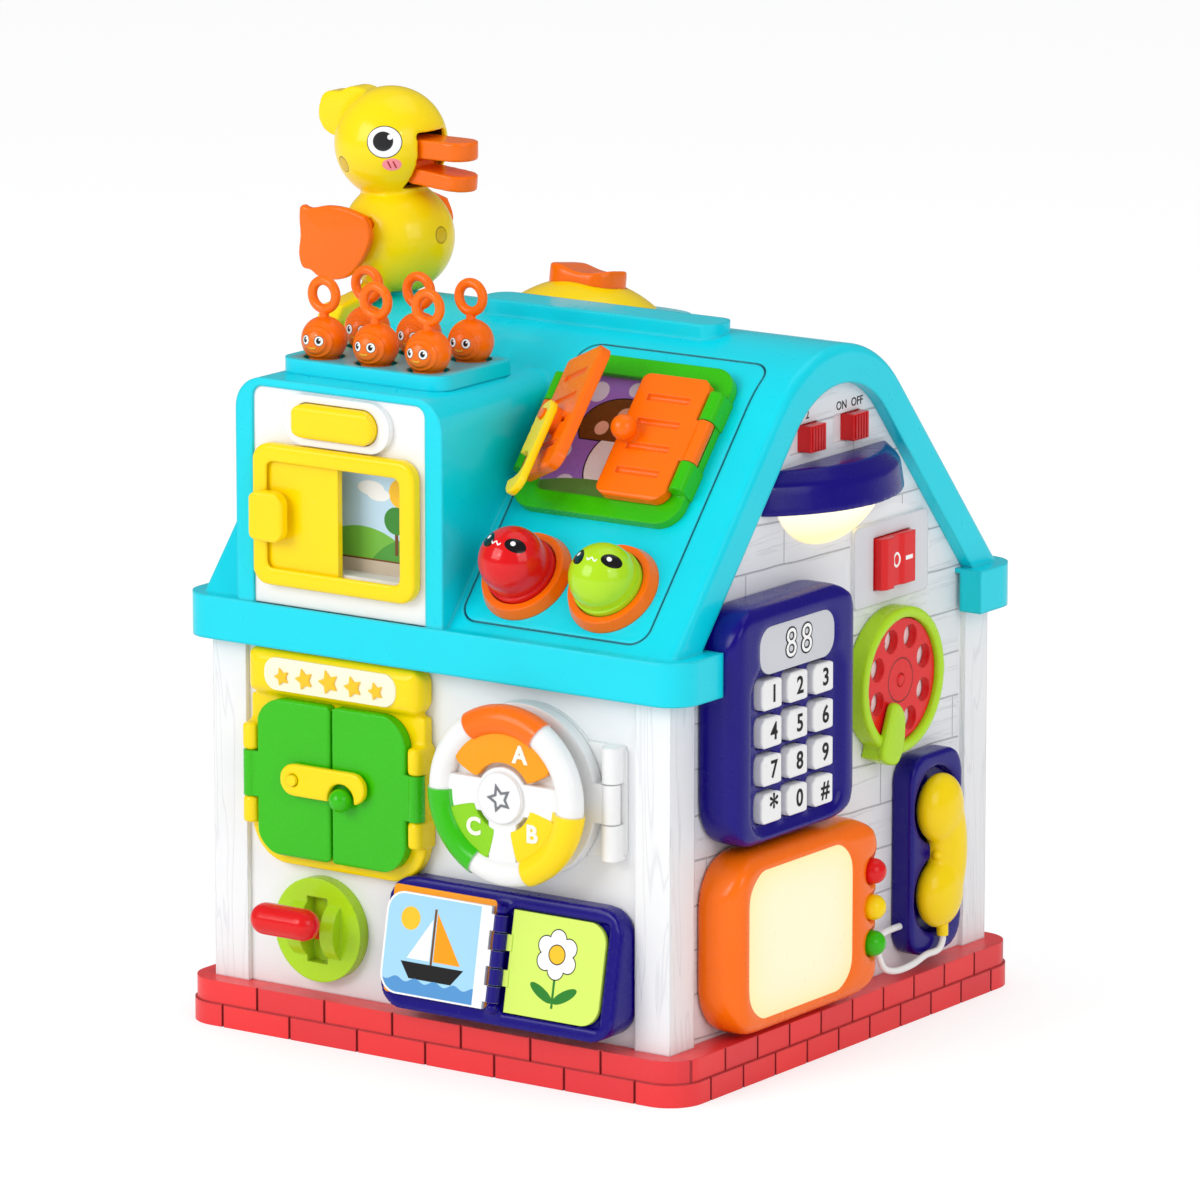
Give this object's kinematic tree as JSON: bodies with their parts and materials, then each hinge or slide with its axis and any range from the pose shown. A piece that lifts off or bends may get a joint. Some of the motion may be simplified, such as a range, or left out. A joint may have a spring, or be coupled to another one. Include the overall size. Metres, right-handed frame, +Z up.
{
  "type": "activity house",
  "caption": "Toy activity house with hinged windows, a turning wheel, dial, lever, flip book, keypad, lamp, telephone, pull-out fish and a duck on the roof.",
  "frame": {"origin": "middle of the plinth's underside", "axes": "+Z up, -Y out of the front wall with the window, +X out of the gable with the keypad; the ridge runs along X"},
  "size_m": [0.2932, 0.2895, 0.3961],
  "materials": {
    "base_plinth": "moulded satin",
    "battery_door": "moulded satin",
    "sound_board": "moulded satin",
    "wall_shell": "moulded satin",
    "roof_shell": "moulded gloss",
    "dormer_front": "moulded gloss",
    "dormer_frame": "moulded gloss",
    "fish_tray": "moulded gloss",
    "duck_body": "moulded gloss",
    "duck_beak_upper": "moulded gloss",
    "ridge_dome": "moulded gloss",
    "shutter_frame": "moulded gloss",
    "ball_rings": "moulded gloss",
    "window_frame": "moulded gloss",
    "steering_mount": "moulded gloss",
    "lever_housing": "moulded gloss",
    "book_frame": "moulded gloss",
    "lamp_shade": "moulded gloss",
    "lamp_lens": "translucent, lit from inside",
    "keypad_housing": "moulded gloss",
    "dial_ring": "moulded gloss",
    "tv_housing": "moulded gloss",
    "handset_cradle": "moulded gloss",
    "handset_cord": "moulded satin",
    "dormer_door": "moulded gloss",
    "dormer_button": "moulded gloss",
    "fish_1": "moulded gloss",
    "fish_2": "moulded gloss",
    "fish_3": "moulded gloss",
    "fish_4": "moulded gloss",
    "fish_5": "moulded gloss",
    "fish_6": "moulded gloss",
    "duck_beak_lower": "moulded gloss",
    "duck_wings": "moulded gloss",
    "ridge_button": "moulded gloss",
    "shutter_left": "moulded gloss",
    "shutter_latch": "moulded gloss",
    "shutter_right": "moulded gloss",
    "ball_red": "moulded gloss",
    "ball_lime": "moulded gloss",
    "window_door_left": "moulded gloss",
    "window_door_right": "moulded gloss",
    "window_latch": "moulded gloss",
    "steering_door": "moulded gloss",
    "steering_wheel": "moulded gloss",
    "lever_handle": "moulded gloss",
    "page_left": "moulded satin",
    "page_right": "moulded satin",
    "slide_switch_1": "moulded gloss",
    "slide_switch_2": "moulded gloss",
    "light_rocker": "moulded gloss",
    "key_row_1": "moulded gloss",
    "key_row_2": "moulded gloss",
    "key_row_3": "moulded gloss",
    "key_row_4": "moulded gloss",
    "dial_disc": "moulded gloss",
    "tv_button_red": "moulded gloss",
    "tv_button_yellow": "moulded gloss",
    "tv_button_green": "moulded gloss",
    "handset": "moulded gloss"
  },
  "bodies": {
    "house": {"base_plinth": "base_plinth", "battery_door": "battery_door", "sound_board": "sound_board", "wall_shell": "wall_shell", "roof_shell": "roof_shell", "dormer_front": "dormer_front", "dormer_frame": "dormer_frame", "fish_tray": "fish_tray", "duck_body": "duck_body", "duck_beak_upper": "duck_beak_upper", "ridge_dome": "ridge_dome", "shutter_frame": "shutter_frame", "ball_rings": "ball_rings", "window_frame": "window_frame", "steering_mount": "steering_mount", "lever_housing": "lever_housing", "book_frame": "book_frame", "lamp_shade": "lamp_shade", "lamp_lens": "lamp_lens", "keypad_housing": "keypad_housing", "dial_ring": "dial_ring", "tv_housing": "tv_housing", "handset_cradle": "handset_cradle", "handset_cord": "handset_cord"},
    "dormer_door": {"dormer_door": "dormer_door"},
    "dormer_button": {"dormer_button": "dormer_button"},
    "fish_1": {"fish_1": "fish_1"},
    "fish_2": {"fish_2": "fish_2"},
    "fish_3": {"fish_3": "fish_3"},
    "fish_4": {"fish_4": "fish_4"},
    "fish_5": {"fish_5": "fish_5"},
    "fish_6": {"fish_6": "fish_6"},
    "duck_beak_lower": {"duck_beak_lower": "duck_beak_lower"},
    "duck_wings": {"duck_wings": "duck_wings"},
    "ridge_button": {"ridge_button": "ridge_button"},
    "shutter_left": {"shutter_left": "shutter_left"},
    "shutter_latch": {"shutter_latch": "shutter_latch"},
    "shutter_right": {"shutter_right": "shutter_right"},
    "ball_red": {"ball_red": "ball_red"},
    "ball_lime": {"ball_lime": "ball_lime"},
    "window_door_left": {"window_door_left": "window_door_left"},
    "window_door_right": {"window_door_right": "window_door_right"},
    "window_latch": {"window_latch": "window_latch"},
    "steering_door": {"steering_door": "steering_door"},
    "steering_wheel": {"steering_wheel": "steering_wheel"},
    "lever_handle": {"lever_handle": "lever_handle"},
    "page_left": {"page_left": "page_left"},
    "page_right": {"page_right": "page_right"},
    "slide_switch_1": {"slide_switch_1": "slide_switch_1"},
    "slide_switch_2": {"slide_switch_2": "slide_switch_2"},
    "light_rocker": {"light_rocker": "light_rocker"},
    "key_row_1": {"key_row_1": "key_row_1"},
    "key_row_2": {"key_row_2": "key_row_2"},
    "key_row_3": {"key_row_3": "key_row_3"},
    "key_row_4": {"key_row_4": "key_row_4"},
    "dial_disc": {"dial_disc": "dial_disc"},
    "tv_button_red": {"tv_button_red": "tv_button_red"},
    "tv_button_yellow": {"tv_button_yellow": "tv_button_yellow"},
    "tv_button_green": {"tv_button_green": "tv_button_green"},
    "handset": {"handset": "handset"}
  },
  "joints": [
    {"name": "dormer_door_slide", "type": "slide", "parent": "house", "child": "dormer_door", "axis": [1, 0, 0], "range_m": [0, 0.028]},
    {"name": "dormer_button_press", "type": "slide", "parent": "house", "child": "dormer_button", "axis": [0, 1, 0], "range_m": [0, 0.002], "stiffness_N_per_m": 120},
    {"name": "fish_1_lift", "type": "slide", "parent": "house", "child": "fish_1", "axis": [0, 0, 1], "range_m": [0, 0.05]},
    {"name": "fish_2_lift", "type": "slide", "parent": "house", "child": "fish_2", "axis": [0, 0, 1], "range_m": [0, 0.05]},
    {"name": "fish_3_lift", "type": "slide", "parent": "house", "child": "fish_3", "axis": [0, 0, 1], "range_m": [0, 0.05]},
    {"name": "fish_4_lift", "type": "slide", "parent": "house", "child": "fish_4", "axis": [0, 0, 1], "range_m": [0, 0.05]},
    {"name": "fish_5_lift", "type": "slide", "parent": "house", "child": "fish_5", "axis": [0, 0, 1], "range_m": [0, 0.05]},
    {"name": "fish_6_lift", "type": "slide", "parent": "house", "child": "fish_6", "axis": [0, 0, 1], "range_m": [0, 0.05]},
    {"name": "duck_beak_hinge", "type": "hinge", "parent": "house", "child": "duck_beak_lower", "pos_m": [-0.0985, 0, 0.36315], "axis": [0, 1, 0], "range_deg": [-4, 10]},
    {"name": "duck_wings_hinge", "type": "hinge", "parent": "house", "child": "duck_wings", "pos_m": [-0.11, 0, 0.33765], "axis": [0, 1, 0], "range_deg": [-10, 25]},
    {"name": "ridge_button_press", "type": "slide", "parent": "house", "child": "ridge_button", "axis": [0, -0.1392, -0.9903], "range_m": [0, 0.002], "stiffness_N_per_m": 120},
    {"name": "shutter_left_hinge", "type": "hinge", "parent": "house", "child": "shutter_left", "pos_m": [0.016, -0.06816, 0.27071], "axis": [0, 0.6494, 0.7604], "range_deg": [-38, 34]},
    {"name": "shutter_latch_turn", "type": "hinge", "parent": "shutter_left", "child": "shutter_latch", "pos_m": [0.03116, -0.08455, 0.27748], "axis": [-0.5592, -0.6304, 0.5384], "range_deg": [0, 105]},
    {"name": "shutter_right_hinge", "type": "hinge", "parent": "house", "child": "shutter_right", "pos_m": [0.096, -0.06816, 0.27071], "axis": [0, 0.6494, 0.7604], "range_deg": [0, 100]},
    {"name": "ball_red_press", "type": "slide", "parent": "house", "child": "ball_red", "axis": [0, 0.7604, -0.6494], "range_m": [0, 0.002], "stiffness_N_per_m": 120},
    {"name": "ball_lime_press", "type": "slide", "parent": "house", "child": "ball_lime", "axis": [0, 0.7604, -0.6494], "range_m": [0, 0.002], "stiffness_N_per_m": 120},
    {"name": "window_left_hinge", "type": "hinge", "parent": "house", "child": "window_door_left", "pos_m": [-0.0945, -0.1294, 0.1155], "axis": [0, 0, 1], "range_deg": [-90, 0]},
    {"name": "window_right_hinge", "type": "hinge", "parent": "house", "child": "window_door_right", "pos_m": [-0.0065, -0.1294, 0.1155], "axis": [0, 0, 1], "range_deg": [0, 90]},
    {"name": "window_latch_turn", "type": "hinge", "parent": "window_door_left", "child": "window_latch", "pos_m": [-0.0675, -0.1319, 0.1165], "axis": [0, -1, 0], "range_deg": [0, 120]},
    {"name": "steering_door_hinge", "type": "hinge", "parent": "house", "child": "steering_door", "pos_m": [0.092, -0.1259, 0.126], "axis": [0, 0, 1], "range_deg": [0, 75]},
    {"name": "steering_wheel_spin", "type": "hinge", "parent": "steering_door", "child": "steering_wheel", "pos_m": [0.048, -0.1305, 0.126], "axis": [0, -1, 0], "continuous": true},
    {"name": "lever_hinge", "type": "hinge", "parent": "house", "child": "lever_handle", "pos_m": [-0.062, -0.126, 0.049], "axis": [1, 0, 0], "range_deg": [-5, 45]},
    {"name": "page_left_turn", "type": "hinge", "parent": "house", "child": "page_left", "pos_m": [0.0403, -0.13601, 0.0533], "axis": [0, 0.1908, 0.9816], "range_deg": [0, 170]},
    {"name": "page_right_turn", "type": "hinge", "parent": "house", "child": "page_right", "pos_m": [0.0403, -0.13601, 0.0533], "axis": [0, 0.1908, 0.9816], "range_deg": [-170, 0]},
    {"name": "slide_switch_1_travel", "type": "slide", "parent": "house", "child": "slide_switch_1", "axis": [0, -1, 0], "range_m": [0, 0.008]},
    {"name": "slide_switch_2_travel", "type": "slide", "parent": "house", "child": "slide_switch_2", "axis": [0, -1, 0], "range_m": [0, 0.008]},
    {"name": "light_rocker_rock", "type": "hinge", "parent": "house", "child": "light_rocker", "pos_m": [0.117, 0.046, 0.2045], "axis": [0, 0, 1], "range_deg": [0, 8]},
    {"name": "key_row_1_press", "type": "slide", "parent": "house", "child": "key_row_1", "axis": [-1, 0, 0], "range_m": [0, 0.0015], "stiffness_N_per_m": 120},
    {"name": "key_row_2_press", "type": "slide", "parent": "house", "child": "key_row_2", "axis": [-1, 0, 0], "range_m": [0, 0.0015], "stiffness_N_per_m": 120},
    {"name": "key_row_3_press", "type": "slide", "parent": "house", "child": "key_row_3", "axis": [-1, 0, 0], "range_m": [0, 0.0015], "stiffness_N_per_m": 120},
    {"name": "key_row_4_press", "type": "slide", "parent": "house", "child": "key_row_4", "axis": [-1, 0, 0], "range_m": [0, 0.0015], "stiffness_N_per_m": 120},
    {"name": "dial_spin", "type": "hinge", "parent": "house", "child": "dial_disc", "pos_m": [0.1225, 0.0455, 0.152], "axis": [1, 0, 0], "continuous": true},
    {"name": "tv_button_red_press", "type": "slide", "parent": "house", "child": "tv_button_red", "axis": [-1, 0, 0], "range_m": [0, 0.002], "stiffness_N_per_m": 120},
    {"name": "tv_button_yellow_press", "type": "slide", "parent": "house", "child": "tv_button_yellow", "axis": [-1, 0, 0], "range_m": [0, 0.002], "stiffness_N_per_m": 120},
    {"name": "tv_button_green_press", "type": "slide", "parent": "house", "child": "tv_button_green", "axis": [-1, 0, 0], "range_m": [0, 0.002], "stiffness_N_per_m": 120},
    {"name": "handset_lift", "type": "slide", "parent": "house", "child": "handset", "axis": [1, 0, 0], "range_m": [0, 0.04]}
  ],
  "couplings": [
    {"joint": "window_right_hinge", "follows": "window_left_hinge", "ratio": -1},
    {"joint": "window_latch_turn", "follows": "window_left_hinge", "ratio": -1.3333}
  ]
}
